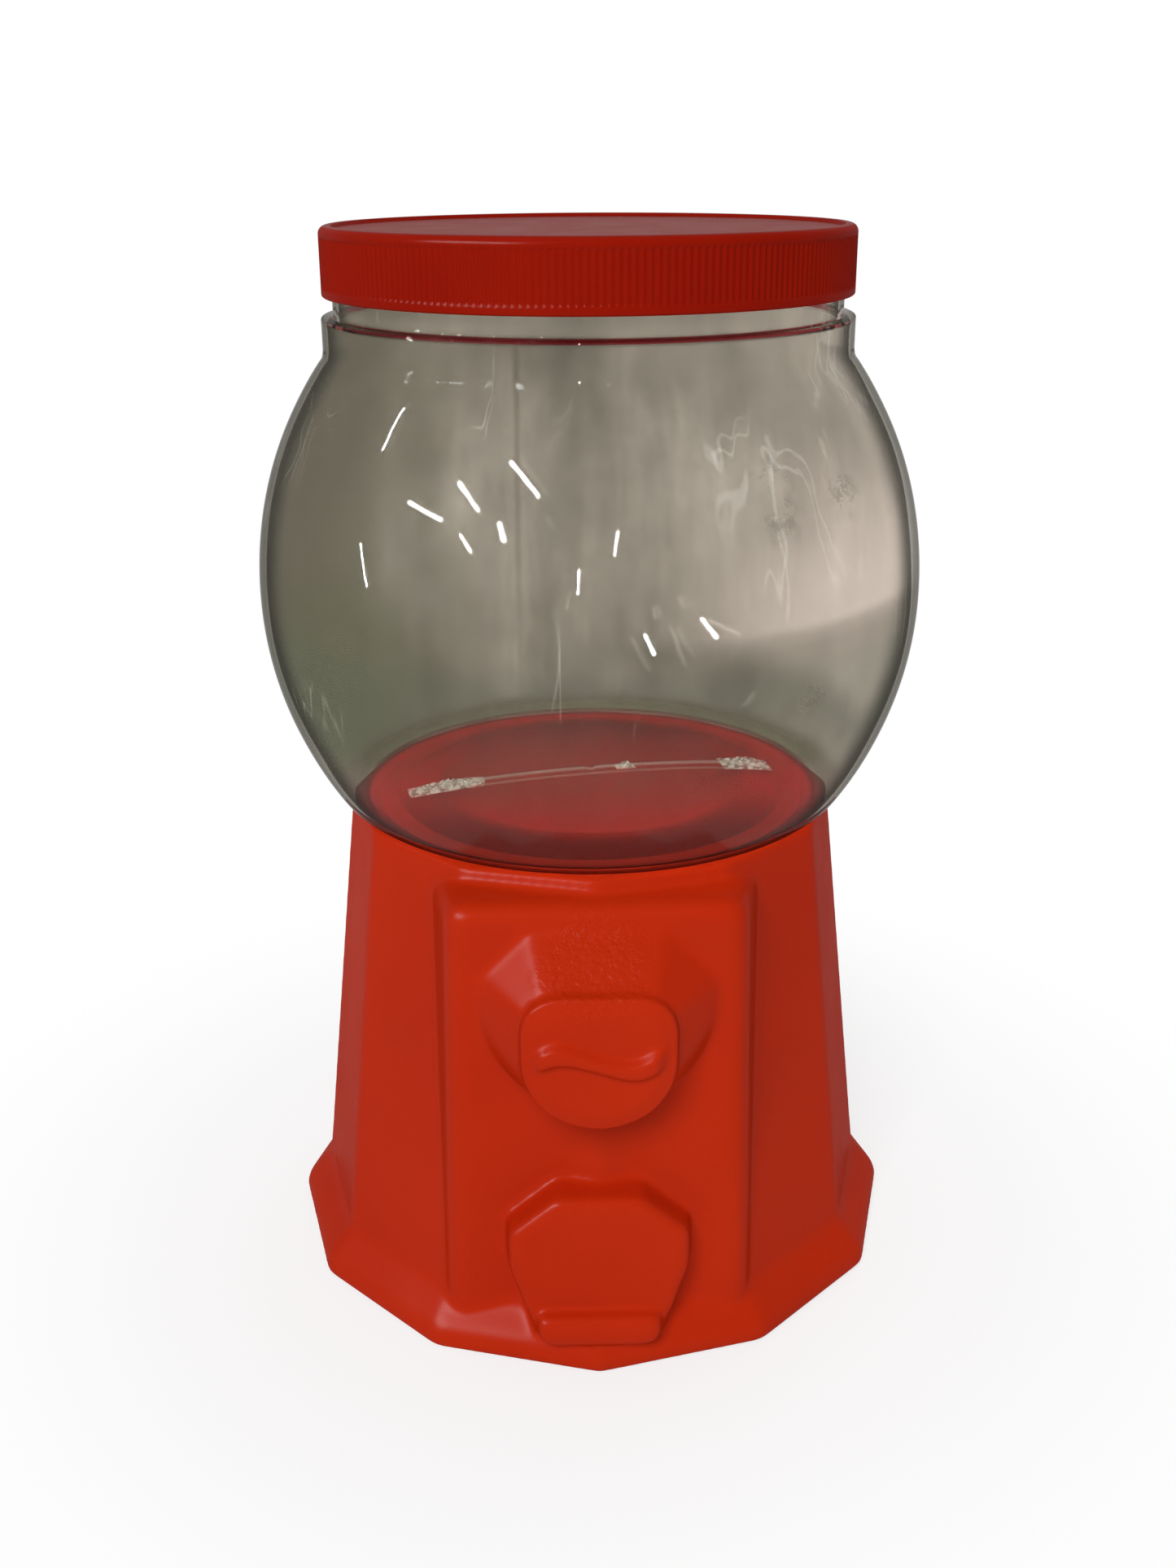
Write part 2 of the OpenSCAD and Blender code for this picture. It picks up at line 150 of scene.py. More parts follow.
def spun(name, profile, count, material, shift=None):
    """A closed solid of revolution round Z through (r, z) points whose first and last lie on the axis.

    shift(r, z, angle), on arrays, may return changed r and z for the rows between the two poles.
    """
    rows = np.array(profile[1:-1])
    angle = np.linspace(0, 2 * math.pi, count, endpoint=False)[None, :]
    r = np.repeat(rows[:, :1], count, axis=1)
    z = np.repeat(rows[:, 1:], count, axis=1)
    if shift:
        r, z = shift(r, z, np.repeat(angle, len(rows), axis=0))
    ring = np.stack([r * np.cos(angle), r * np.sin(angle), z], axis=-1).reshape(-1, 3)
    points = [(0, 0, profile[0][1])] + ring.tolist() + [(0, 0, profile[-1][1])]
    last = len(points) - 1
    faces = []
    for j in range(count):
        k = (j + 1) % count
        faces.append((0, 1 + k, 1 + j))
        top = 1 + (len(rows) - 1) * count
        faces.append((last, top + j, top + k))
    for i in range(len(rows) - 1):
        a = 1 + i * count
        for j in range(count):
            k = (j + 1) % count
            faces.append((a + j, a + k, a + count + k, a + count + j))
    return mesh_object(name, points, faces, material)


def arc(cx, cz, r, a0, a1, steps):
    """Points of an arc in (r, z), from angle a0 to a1 in degrees."""
    return [(cx + r * math.cos(math.radians(a0 + (a1 - a0) * i / steps)),
             cz + r * math.sin(math.radians(a0 + (a1 - a0) * i / steps))) for i in range(steps + 1)]


def bend(p0, p1, p2, steps):
    """Points of a curve from p0 to p2 that leaves and arrives along the lines to p1."""
    out = []
    for i in range(steps + 1):
        t = i / steps
        out.append(tuple((1 - t) ** 2 * a + 2 * t * (1 - t) * b + t * t * c for a, b, c in zip(p0, p1, p2)))
    return out


def line(p0, p1, steps):
    """Points strictly between p0 and p1."""
    return [tuple(a + (b - a) * i / steps for a, b in zip(p0, p1)) for i in range(1, steps)]


def smooth_step(x):
    x = np.clip(x, 0, 1)
    return x * x * (3 - 2 * x)


# ---- Material helpers ----

def new_material(name):
    material = bpy.data.materials.new(name)
    material.use_nodes = True
    shader = material.node_tree.nodes["Principled BSDF"]
    return material, material.node_tree, shader


def object_coords(tree):
    return tree.nodes.new("ShaderNodeTexCoord").outputs["Object"]


def noise_node(tree, scale, detail=2.0, roughness=0.5, stretch=None):
    """Noise in object space; stretch scales the coordinates first."""
    source = object_coords(tree)
    if stretch:
        mapping = tree.nodes.new("ShaderNodeMapping")
        mapping.inputs["Scale"].default_value = stretch
        tree.links.new(source, mapping.inputs["Vector"])
        source = mapping.outputs["Vector"]
    node = tree.nodes.new("ShaderNodeTexNoise")
    node.inputs["Scale"].default_value = scale
    node.inputs["Detail"].default_value = detail
    node.inputs["Roughness"].default_value = roughness
    tree.links.new(source, node.inputs["Vector"])
    return node.outputs["Fac"]


def feed(tree, socket, value):
    """Links a socket to another one, or sets it to a number or a colour."""
    if isinstance(value, bpy.types.NodeSocket):
        tree.links.new(value, socket)
    elif socket.type == "RGBA":
        socket.default_value = (*(value if isinstance(value, tuple) else (value,) * 3), 1)
    else:
        socket.default_value = value


def math_node(tree, operation, *values):
    """A math node; each value is a socket or a number."""
    node = tree.nodes.new("ShaderNodeMath")
    node.operation = operation
    for socket, value in zip(node.inputs, values):
        feed(tree, socket, value)
    return node.outputs[0]


def product(tree, first, *others):
    """The product of sockets and numbers."""
    for value in others:
        first = math_node(tree, "MULTIPLY", first, value)
    return first


def rise(tree, value, low, high):
    """0 below low and 1 above high, smooth between; high may be under low."""
    node = tree.nodes.new("ShaderNodeMapRange")
    node.interpolation_type = "SMOOTHSTEP"
    for socket, number in (("From Min", min(low, high)), ("From Max", max(low, high)),
                           ("To Min", float(low > high)), ("To Max", float(low < high))):
        node.inputs[socket].default_value = number
    tree.links.new(value, node.inputs["Value"])
    return node.outputs["Result"]


def mixed(tree, share, first, second):
    """first where share is 0 and second where it is 1; each is a colour, a number or a socket."""
    node = tree.nodes.new("ShaderNodeMix")
    node.data_type = "RGBA"
    tree.links.new(share, node.inputs["Factor"])
    feed(tree, node.inputs[6], first)
    feed(tree, node.inputs[7], second)
    return node.outputs[2]


def overlaid(tree, value, layers):
    """Lays colours or numbers over a value one after another; layers are (share, colour or number)."""
    for share, layer in layers:
        value = mixed(tree, share, value, layer)
    return value


def near_point(tree, point, inner, outer):
    """1 within inner of a point in object space, 0 beyond outer."""
    away = tree.nodes.new("ShaderNodeVectorMath")
    away.operation = "DISTANCE"
    tree.links.new(object_coords(tree), away.inputs[0])
    away.inputs[1].default_value = point
    return rise(tree, away.outputs["Value"], outer, inner)


def ramp(tree, value, stops):
    """A colour ramp; stops are (position, colour or grey value)."""
    node = tree.nodes.new("ShaderNodeValToRGB")
    elements = node.color_ramp.elements
    while len(elements) < len(stops):
        elements.new(0.5)
    for element, (position, colour) in zip(elements, stops):
        element.position = position
        element.color = (*(colour if isinstance(colour, tuple) else (colour,) * 3), 1)
    tree.links.new(value, node.inputs["Fac"])
    return node.outputs["Color"]


def bumps(tree, shader, layers):
    """Chains bump nodes; layers are (height, strength, distance in metres)."""
    normal = None
    for height, strength, distance in layers:
        node = tree.nodes.new("ShaderNodeBump")
        node.inputs["Strength"].default_value = strength
        node.inputs["Distance"].default_value = distance
        tree.links.new(height, node.inputs["Height"])
        if normal:
            tree.links.new(normal, node.inputs["Normal"])
        normal = node.outputs["Normal"]
    tree.links.new(normal, shader.inputs["Normal"])
    tree.links.new(normal, shader.inputs["Coat Normal"])


def glossy_skin(tree, shader, weight, roughness):
    """A thin gloss over a shader with little or none of its own; weight is a number or a socket."""
    feed(tree, shader.inputs["Coat Weight"], weight)
    shader.inputs["Coat IOR"].default_value = 1.5
    tree.links.new(roughness, shader.inputs["Coat Roughness"])


# ---- Materials ----

BASE_REDS = ((0.45, 0.0195, 0.0022), (0.51, 0.0250, 0.0035))
LID_REDS = ((0.24, 0.0050, 0.0004), (0.29, 0.0080, 0.0008))
# painted shade: the darker red that the lid's up-facing top is given
SHADED_LID_TOP_RED = (0.16, 0.0045, 0.0006)
FOAM_WHITES = ((0.74, 0.72, 0.66), (0.83, 0.81, 0.76))


def drifting(tree, noise, colours):
    """A slow drift between two colours."""
    return ramp(tree, noise, list(zip((0.3, 0.7), colours)))


def base_plastic():
    """Orange-red blow-moulded polyethylene: soft gloss, faint orange peel and slow colour drift."""
    material, tree, shader = new_material("red_base_plastic")
    drift = noise_node(tree, 14, detail=3)
    tree.links.new(drifting(tree, drift, BASE_REDS), shader.inputs["Base Color"])
    gloss = noise_node(tree, 60, detail=4)
    shader.inputs["Roughness"].default_value = 0.5
    shader.inputs["Specular IOR Level"].default_value = 0.0
    glossy_skin(tree, shader, 0.10, ramp(tree, gloss, [(0.3, 0.26), (0.75, 0.36)]))
    bumps(tree, shader, [
        (noise_node(tree, 45, detail=1), 0.12, 0.0008),
        (noise_node(tree, 1400, detail=2), 0.10, 0.00012),
        (product(tree, noise_node(tree, 620, detail=3, roughness=0.6),
                 near_point(tree, STIPPLE_MIDDLE, 9 * MM, 16 * MM)), 0.9, 0.0006),
    ])
    return material


def lid_plastic():
    """Deep red injection-moulded polypropylene: satin skirt, glossier top, with the up-facing top painted a
    darker red as painted shade.
    """
    material, tree, shader = new_material("red_lid_plastic")
    drift = noise_node(tree, 25, detail=3)
    split = tree.nodes.new("ShaderNodeSeparateXYZ")
    tree.links.new(tree.nodes.new("ShaderNodeTexCoord").outputs["Normal"], split.inputs[0])
    top = rise(tree, split.outputs[2], 0.85, 0.97)
    tree.links.new(mixed(tree, product(tree, top, 0.8), drifting(tree, drift, LID_REDS), SHADED_LID_TOP_RED),
                   shader.inputs["Base Color"])
    gloss = noise_node(tree, 90, detail=4)
    shader.inputs["Roughness"].default_value = 0.5
    shader.inputs["Specular IOR Level"].default_value = 0.0
    glossy_skin(tree, shader, mixed(tree, top, 0.07, 0.20), ramp(tree, gloss, [(0.3, 0.20), (0.75, 0.30)]))
    bumps(tree, shader, [
        (noise_node(tree, 30, detail=1), 0.10, 0.0006),
        (noise_node(tree, 1800, detail=2), 0.08, 0.00008),
    ])
    return material


# the tints that the jar's walls give to what is seen through them, partly a smoky tint and partly painted
# light and shade of the surroundings seen through the walls
SMOKE_AND_SHADE = [(0.40, (0.33, 0.315, 0.27)), (0.50, (0.475, 0.45, 0.395)), (0.60, (0.64, 0.60, 0.54))]
PAINTED_LIGHT_RIGHT = (0.90, 0.83, 0.78)
PAINTED_SHADE_LEFT = (0.29, 0.275, 0.215)
PAINTED_GREEN_SHADE_LEFT = (0.28, 0.31, 0.20)
PAINTED_GREEN_SHADE_LOW = (0.34, 0.35, 0.30)
PAINTED_SHADE_BAND = (0.36, 0.34, 0.30)
DARK_STREAK = (0.26, 0.22, 0.20)
CLEAR_NECK = (0.66, 0.62, 0.56)
# painted reflection of the red lid in the ledge
PAINTED_LID_REFLECTION = (0.16, 0.004, 0.006)
# painted shade where the wall is seen on edge and at its rim
PAINTED_EDGE_SHADE = (0.10, 0.095, 0.075)
PAINTED_RIM_SHADE = (0.05, 0.045, 0.035)
SCRATCHED = (0.90, 0.88, 0.84)
SCUFFED = (0.30, 0.29, 0.25)
# and those of its foot and floor, with painted shade on the heel and on the floor's front and edge, and a
# painted reflection on the raised floor
CLEAR_FOOT = (0.62, 0.50, 0.46)
# painted shade in the heel
PAINTED_HEEL_SHADE = (0.30, 0.26, 0.21)
# the back of the heel: clouded, and painted dark as painted shade
CLOUDED_HEEL_AND_SHADE = (0.34, 0.32, 0.25)
# the base's red seen through the floor, brighter at the back and painted shade at the front
FLOOR_BACK = (0.96, 0.27, 0.29)
SHADED_FLOOR_FRONT = (0.33, 0.20, 0.22)
# painted reflection on the raised middle of the floor
RAISED_FLOOR_REFLECTION = (0.75, 0.38, 0.37)
# painted shade round the floor's edge
FLOOR_EDGE_SHADE = (0.26, 0.16, 0.14)
WELD_FROST = (0.93, 0.84, 0.82)
LAMP_TINT = (0.93, 0.92, 0.90)

BAND_Z = 0.172             # height of the painted shade band on the front, with the painted light on the right over it
STREAK_X = -0.0155         # where the dark upright line is
# where a patch of painted glow sits on the front of the wall
GLOW = (-0.031, -0.062, 0.197)
SCUFFS = ((0.036, -0.062, 0.206), (0.037, -0.063, 0.199), (0.045, -0.063, 0.161), (0.052, -0.052, 0.202))


def lets_lamps_through(tree, shader, tint):
    """Mixes in a transparent shader for shadow rays, so that lamps light what the clear wall covers."""
    clear = tree.nodes.new("ShaderNodeBsdfTransparent")
    clear.inputs["Color"].default_value = (*tint, 1)
    path = tree.nodes.new("ShaderNodeLightPath")
    mix = tree.nodes.new("ShaderNodeMixShader")
    tree.links.new(path.outputs["Is Shadow Ray"], mix.inputs["Fac"])
    tree.links.new(shader.outputs["BSDF"], mix.inputs[1])
    tree.links.new(clear.outputs["BSDF"], mix.inputs[2])
    tree.links.new(mix.outputs[0], tree.nodes["Material Output"].inputs["Surface"])


def away_from(tree, value, middle):
    """How far a value is from its middle, without sign."""
    return math_node(tree, "ABSOLUTE", math_node(tree, "SUBTRACT", value, middle))


def jar_place(tree):
    """Sockets for where a point of the jar is; z is its height with a slow wander."""
    split = tree.nodes.new("ShaderNodeSeparateXYZ")
    tree.links.new(object_coords(tree), split.inputs[0])
    x, y, height = split.outputs
    wander = product(tree, math_node(tree, "SUBTRACT", noise_node(tree, 16, detail=3), 0.5), 8 * MM)
    return SimpleNamespace(
        x=x, y=y, height=height, z=math_node(tree, "ADD", height, wander),
        from_axis=math_node(tree, "SQRT", math_node(tree, "ADD", product(tree, x, x), product(tree, y, y))),
        front=rise(tree, y, 0.0, -0.045), back=rise(tree, y, 0.0, 0.02))


def smoke_and_painted_surroundings(tree, at):
    """Smoky walls, partly a smoky tint and partly painted light and shade of the surroundings: painted light
    on the right over a painted shade band, painted shade on the left and a greener painted shade low down.
    """
    clouds = noise_node(tree, 11, detail=6, roughness=0.62)
    streaks = noise_node(tree, 42, detail=6, roughness=0.7, stretch=(1, 1, 0.07))
    smoke = math_node(tree, "ADD", product(tree, clouds, 0.55), product(tree, streaks, 0.45))
    behind = product(tree, rise(tree, at.y, -0.005, 0.005), rise(tree, at.z, 0.130, 0.140))
    over_band = math_node(tree, "MAXIMUM", rise(tree, at.z, BAND_Z, BAND_Z + 5 * MM), behind)
    pale = math_node(tree, "ADD", 0.16, product(tree, 0.5, rise(tree, at.z, 0.205, 0.183)))
    band = product(tree, at.front, rise(tree, at.x, -0.03, 0.045),
                   rise(tree, at.z, BAND_Z + 6 * MM, BAND_Z + 3 * MM),
                   rise(tree, at.z, BAND_Z - 7 * MM, BAND_Z - 2 * MM))
    streak = product(tree, rise(tree, away_from(tree, at.x, STREAK_X), 0.9 * MM, 0.2 * MM),
                     rise(tree, at.y, 0.0, -0.01), rise(tree, at.z, 0.15, 0.235))
    # painted light and shade of the surroundings, laid over the smoky tint
    return overlaid(tree, ramp(tree, smoke, SMOKE_AND_SHADE), [
        (product(tree, rise(tree, at.x, 0.0, 0.06), over_band, pale), PAINTED_LIGHT_RIGHT),
        (product(tree, rise(tree, at.x, -0.015, -0.065), 0.75), PAINTED_SHADE_LEFT),
        (product(tree, rise(tree, at.x, -0.025, -0.07), rise(tree, at.z, 0.175, 0.15), 0.6), PAINTED_GREEN_SHADE_LEFT),
        (product(tree, at.front, rise(tree, at.z, BAND_Z - 0.5 * MM, BAND_Z - 5.5 * MM), 0.6), PAINTED_GREEN_SHADE_LOW),
        (product(tree, band, 0.5), PAINTED_SHADE_BAND),
        (product(tree, streak, 0.55), DARK_STREAK),
    ])


def foot_zones(tree, at):
    """Sockets that are 1 inside a zone of the jar's foot and 0 outside it."""
    under = JAR_LOW[2]
    floor = product(tree, rise(tree, at.height, under + 6.5 * MM, under + 6 * MM),
                    rise(tree, at.from_axis, FLOOR_R + 0.6 * MM, FLOOR_R - 0.6 * MM))
    from_weld = away_from(tree, product(tree, at.y, math.cos(WELD_TURN)),
                          product(tree, at.x, math.sin(WELD_TURN)))
    return SimpleNamespace(
        floor=floor,
        front=product(tree, rise(tree, at.height, under + 30 * MM, under + 8 * MM),
                      rise(tree, at.y, 0.0, -0.02)),
        heel=product(tree, rise(tree, at.height, under + 6 * MM, under + 3 * MM),
                     rise(tree, at.from_axis, FLOOR_R, FLOOR_R + 1.2 * MM)),
        heel_back=product(tree, rise(tree, at.height, under + 4.5 * MM, under + 1.5 * MM),
                          rise(tree, at.from_axis, FLOOR_R - 0.6 * MM, FLOOR_R + 0.4 * MM),
                          rise(tree, at.y, 0.005, 0.02)),
        edge=product(tree, floor, rise(tree, at.from_axis, FLOOR_R - 1.5 * MM, FLOOR_R - 0.6 * MM)),
        weld=product(tree, floor, rise(tree, from_weld, 1.3 * MM, 0.6 * MM),
                     rise(tree, at.from_axis, WELD_HALF, WELD_HALF - 2 * MM)))


def scratches(tree, at):
    """Fine upright scratches, in patches on the front."""
    wander = away_from(tree, noise_node(tree, 70, detail=2, stretch=(1, 1, 0.10)), 0.5)
    patches = rise(tree, noise_node(tree, 26, detail=2), 0.54, 0.62)
    return product(tree, rise(tree, wander, 0.012, 0.004), patches, at.front, rise(tree, at.z, 0.145, 0.155))


def scuffs(tree):
    """Grainy marks round the points in SCUFFS."""
    grain = rise(tree, noise_node(tree, 260, detail=5, roughness=0.7), 0.50, 0.58)
    marks = [product(tree, near_point(tree, point, 2 * MM, 7.5 * MM), grain) for point in SCUFFS]
    scuffed = marks[0]
    for mark in marks[1:]:
        scuffed = math_node(tree, "MAXIMUM", scuffed, mark)
    return scuffed


def jar_plastic():
    """Smoky clear plastic: streaked and clouded walls with painted light, shade and reflections, a clearer
    foot, scratches, scuffs and ripples.
    """
    material, tree, shader = new_material("clear_jar_plastic")
    at = jar_place(tree)
    foot = foot_zones(tree, at)
    scratched = scratches(tree, at)
    scuffed = scuffs(tree)

    # painted: the floor takes up the base's red, shaded at the front, with a painted reflection on its
    # raised middle and painted shade round its edge; the ledge gets a painted reflection of the lid over it
    raised = rise(tree, at.from_axis, RAISED_R + 0.8 * MM, RAISED_R - 0.8 * MM)
    floor_red_shaded_front = mixed(tree, rise(tree, at.y, 0.01, -0.04), FLOOR_BACK, SHADED_FLOOR_FRONT)
    on_neck = rise(tree, at.height, SHOULDER_Z, SHOULDER_Z + 1 * MM)
    # painted reflection of the lid, on the ledge just under it
    ledge = product(tree, rise(tree, at.height, SHOULDER_Z - 0.95 * MM, SHOULDER_Z - 0.65 * MM),
                    rise(tree, at.height, SHOULDER_Z + 0.25 * MM, SHOULDER_Z - 0.05 * MM))
    # painted shade: the wall's colour darkens where it is seen on edge
    turned = tree.nodes.new("ShaderNodeLayerWeight")
    turned.inputs["Blend"].default_value = 0.5
    on_edge = rise(tree, turned.outputs["Facing"], 0.62, 0.84)
    at_rim = rise(tree, turned.outputs["Facing"], 0.85, 0.93)
    tree.links.new(overlaid(tree, smoke_and_painted_surroundings(tree, at), [
        (product(tree, foot.front, 0.85), CLEAR_FOOT),
        (product(tree, foot.heel, 0.85), PAINTED_HEEL_SHADE),
        (foot.floor, mixed(tree, raised, floor_red_shaded_front, RAISED_FLOOR_REFLECTION)),
        (product(tree, foot.edge, 0.8), FLOOR_EDGE_SHADE),
        (foot.heel_back, CLOUDED_HEEL_AND_SHADE),
        (foot.weld, WELD_FROST),
        (product(tree, on_neck, 0.5), CLEAR_NECK),
        (ledge, PAINTED_LID_REFLECTION),
        (product(tree, on_edge, 0.9), PAINTED_EDGE_SHADE),
        (product(tree, at_rim, 0.8), PAINTED_RIM_SHADE),
        (product(tree, scratched, 0.45), SCRATCHED),
        (product(tree, scuffed, 0.6), SCUFFED),
    ]), shader.inputs["Base Color"])

    # refracts very little, so that the thin walls don't bend what is behind them
    shader.inputs["IOR"].default_value = 1.01
    wear = noise_node(tree, 22, detail=8, roughness=0.7, stretch=(1, 1, 0.35))
    tree.links.new(overlaid(tree, ramp(tree, wear, [(0.55, 0.004), (0.85, 0.10)]), [
        (at.back, 0.03), (scuffed, 0.35), (foot.weld, 0.25)]), shader.inputs["Roughness"])
    glossy_skin(tree, shader, mixed(tree, on_edge, 0.10, 0.03),
                mixed(tree, scuffed, mixed(tree, at.back, 0.015, 0.03), 0.35))

    veil = noise_node(tree, 7, detail=5, roughness=0.6)
    # painted glow: here the wall lets less through and shows its own pale colour
    painted_glow = product(tree, near_point(tree, GLOW, 4 * MM, 30 * MM), ramp(
        tree, noise_node(tree, 45, detail=4, stretch=(1, 1, 0.5)), [(0.35, 0.15), (0.65, 0.9)]))
    tree.links.new(overlaid(tree, ramp(tree, veil, [(0.3, 0.97), (0.8, 0.88)]), [
        (foot.front, 0.985), (foot.floor, 0.985), (painted_glow, 0.62), (scratched, 0.86), (foot.heel_back, 0.25),
        (foot.weld, 0.72)]), shader.inputs["Transmission Weight"])
    bumps(tree, shader, [
        (noise_node(tree, 28, detail=1, stretch=(1, 1, 0.5)), 0.09, 0.001),
        (noise_node(tree, 130, detail=2, stretch=(1, 1, 0.3)), 0.03, 0.0004),
    ])
    lets_lamps_through(tree, shader, LAMP_TINT)
    return material


def liner_foam():
    """White closed-cell foam."""
    material, tree, shader = new_material("liner_foam")
    cells = noise_node(tree, 900, detail=3)
    tree.links.new(drifting(tree, cells, FOAM_WHITES), shader.inputs["Base Color"])
    shader.inputs["Roughness"].default_value = 0.8
    bumps(tree, shader, [(cells, 0.3, 0.0002)])
    return material


# ---- Base ----

def vertices(mesh):
    """The mesh's vertices as rows of x, y and z."""
    flat = np.empty(3 * len(mesh.vertices))
    mesh.vertices.foreach_get("co", flat)
    return flat.reshape(-1, 3)


def relax(mesh, rounds, share):
    """Draws each vertex towards its neighbours; share(x, y, z) says how strongly, from 0 to 1."""
    points = vertices(mesh)
    count = len(points)
    ends = np.empty(2 * len(mesh.edges), np.int64)
    mesh.edges.foreach_get("vertices", ends)
    first = np.concatenate([ends[0::2], ends[1::2]])
    second = np.concatenate([ends[1::2], ends[0::2]])
    neighbours = np.maximum(np.bincount(first, minlength=count), 1)
    pull = 0.5 * share(*points.T)
    for _ in range(rounds):
        for axis in range(3):
            middle = np.bincount(first, weights=points[second, axis], minlength=count) / neighbours
            points[:, axis] += pull * (middle - points[:, axis])
    mesh.vertices.foreach_set("co", points.ravel())
    mesh.update()


def base_softness(x, y, z):
    """How soft the moulding is: the knob's grip and the foot's crease came out crisper than the rest."""
    knob = (smooth_step((19 * MM - np.abs(x)) / (3 * MM)) * smooth_step((-71 * MM - y) / (2 * MM))
            * smooth_step((z - 68 * MM) / (3 * MM)))
    crease = smooth_step(1 - np.abs(z - FOOT_TOP) / (4 * MM))
    return 1 - 0.5 * knob - 0.6 * crease * (1 - knob)


def rounded_box_depth(x, z, half_w, top, corner):
    """Distance in from the knob's outline: a half disc below its middle and a rounded box above."""
    disc = half_w - np.hypot(x, z)
    qx = np.abs(x) - (half_w - corner)
    qz = z - (top - corner)
    box = corner - np.hypot(np.maximum(qx, 0), np.maximum(qz, 0)) - np.minimum(np.maximum(qx, qz), 0)
    return np.where(z < 0, disc, box)


def blurred(values):
    """Values along the grip, each averaged with those next to it."""
    kernel = np.hanning(GRIP_BLUR) / np.hanning(GRIP_BLUR).sum()
    return np.convolve(np.pad(values, GRIP_BLUR // 2, mode="edge"), kernel, mode="valid")


def shape_knob(x, y, z):
    """New depths for the knob: a rounder rim, and a wavy grip that is thicker at its ends."""
    z = z - KNOB_Z
    depth = rounded_box_depth(x, z, KNOB_W / 2, KNOB_TOP, KNOB_CORNER_R)
    rim = KNOB_RIM_FALL * (1 - np.clip(depth / KNOB_RIM_W, 0, 1)) ** 2
    at, middle, half = (np.array(column) * MM for column in zip(*GRIP_STATIONS))
    fine = np.linspace(at[0], at[-1], GRIP_SAMPLES)
    middle, half = (np.interp(x, fine, blurred(np.interp(fine, at, values))) for values in (middle, half))
    away = np.abs(z - GRIP_UP - middle) / half
    ends = smooth_step((x - at[0]) / GRIP_END) * smooth_step((at[-1] - x) / GRIP_END)
    ridge = GRIP_RISE * smooth_step((1.25 - away) / 0.75) * ends
    within = smooth_step(depth / (1.5 * MM)) * smooth_step((KNOB_FRONT + 1.6 * MM - y) / (0.6 * MM))
    return y + within * (KNOB_FRONT + rim - ridge - y)


def softened(source, name, share, material):
    """A copy of the base's CAD mesh with softly rounded edges and hollows, as blow moulding leaves them."""
    obj = source.copy()
    obj.data = source.data.copy()
    obj.parent = None
    obj.name = name
    bpy.context.scene.collection.objects.link(obj)
    for modifier in list(obj.modifiers):
        obj.modifiers.remove(modifier)
    remesh = obj.modifiers.new("Remesh", "REMESH")
    remesh.mode = "VOXEL"
    remesh.voxel_size = VOXEL
    depsgraph = bpy.context.evaluated_depsgraph_get()
    mesh = bpy.data.meshes.new_from_object(obj.evaluated_get(depsgraph))
    bpy.data.objects.remove(obj)
    mesh.name = name
    mesh.materials.clear()
    mesh.materials.append(material)
    mesh.polygons.foreach_set("use_smooth", [True] * len(mesh.polygons))
    relax(mesh, FIRST_RELAX, share)
    points = vertices(mesh)
    points[:, 1] = shape_knob(*points.T)
    mesh.vertices.foreach_set("co", points.ravel())
    relax(mesh, LAST_RELAX, share)
    return in_scene(name, mesh)


def build_base():
    shell = softened(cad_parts["base"], "base_shell", base_softness, base_plastic())
    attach(shell, "jar_and_base")
    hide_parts("base")


# ---- Jar ----

def globe_at(z, grow=0.0):
    return (GLOBE_R + grow) * math.sqrt(max(0.0, 1 - ((z - GLOBE_MID_Z) / (GLOBE_HALF_H + grow)) ** 2))


def floor_curve(z):
    """The pushed-up floor, from the axis to the ring that the jar stands on."""
    ring_r = STAND_R - STAND_W
    return bend((0, z + PUSH_UP), (ring_r * 0.6, z + PUSH_UP), (ring_r, z), 40)


def jar_side(inset):
    """Outer or inner side of the jar from the middle of its floor up to just under its mouth."""
    floor_z = JAR_LOW[2] + inset
    z0 = JAR_LOW[2] + HEEL_H
    band_z = SHOULDER_Z - SHOULDER_BAND
    r0 = globe_at(z0, -inset)
    lean = (globe_at(z0 + 0.1 * MM, -inset) - r0) / (0.1 * MM)
    turn = (r0 - lean * (z0 - floor_z), floor_z)
    heel = bend((STAND_R, floor_z), turn, (r0, z0), 12)
    globe = [(globe_at(z, -inset), z) for z in np.linspace(z0, band_z - 1.2 * MM, 60)[1:]]
    band_r = SHOULDER_R - inset
    neck_r = NECK_R - inset
    shoulder = bend(globe[-1], (band_r, band_z - 0.4 * MM), (band_r, band_z + 2.2 * MM), 10)[1:]
    ledge_z = SHOULDER_Z - inset
    corner = arc(band_r - LEDGE_EDGE_R, ledge_z - LEDGE_EDGE_R, LEDGE_EDGE_R, 0, 90, 4)
    hollow = arc(neck_r + LEDGE_EDGE_R, ledge_z + LEDGE_EDGE_R, LEDGE_EDGE_R, 270, 180, 3)
    neck_top = (neck_r, MOUTH_Z - LEDGE_EDGE_R)
    return (floor_curve(floor_z) + heel + globe + shoulder + line(shoulder[-1], corner[0], 6)
            + corner + hollow + line(hollow[-1], neck_top, 48) + [neck_top])


def thread_wave(z, angle, low, high, phase):
    """0 to 1 across a right-hand helical ridge that fades out at its two ends."""
    height = (z - low - THREAD_PITCH * (angle / (2 * math.pi) + phase)) / THREAD_PITCH
    nearest = np.abs(height - np.round(height)) * THREAD_PITCH
    turn_z = z - nearest
    ridge = smooth_step(1 - np.clip((nearest - 0.35 * THREAD_HALF_W) / (0.65 * THREAD_HALF_W), 0, 1))
    fade = smooth_step((turn_z - low) / THREAD_END) * smooth_step((high - turn_z) / THREAD_END)
    return ridge * fade


